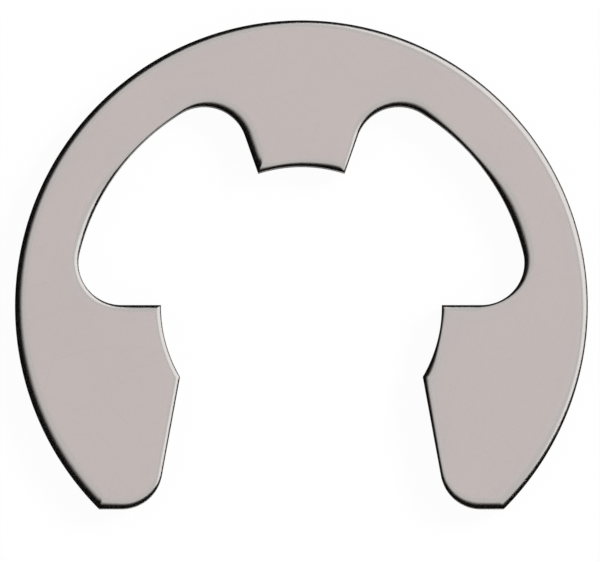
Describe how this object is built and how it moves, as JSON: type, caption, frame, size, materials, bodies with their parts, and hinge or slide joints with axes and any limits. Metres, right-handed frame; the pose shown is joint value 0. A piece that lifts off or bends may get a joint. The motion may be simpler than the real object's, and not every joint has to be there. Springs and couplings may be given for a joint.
{
  "type": "e clip",
  "caption": "Flat E-shaped spring-steel retaining clip with prongs that grip a shaft groove, open lobes between them and a flared mouth that snaps on from the side.",
  "frame": {"origin": "on the axis of the shaft that the clip grips, at the height of the lower face", "axes": "+Z along the shaft axis, out of the face with the rounded edges; +Y from the open mouth towards the middle prong; +X across the mouth"},
  "size_m": [0.0204, 0.0174, 0.0011],
  "materials": {
    "spring_steel": "bare hardened spring steel, tumbled to a satin grey with faint rolling grain on the faces and darker sheared edges"
  },
  "bodies": {
    "root": {"e_clip": "spring_steel"}
  },
  "joints": []
}
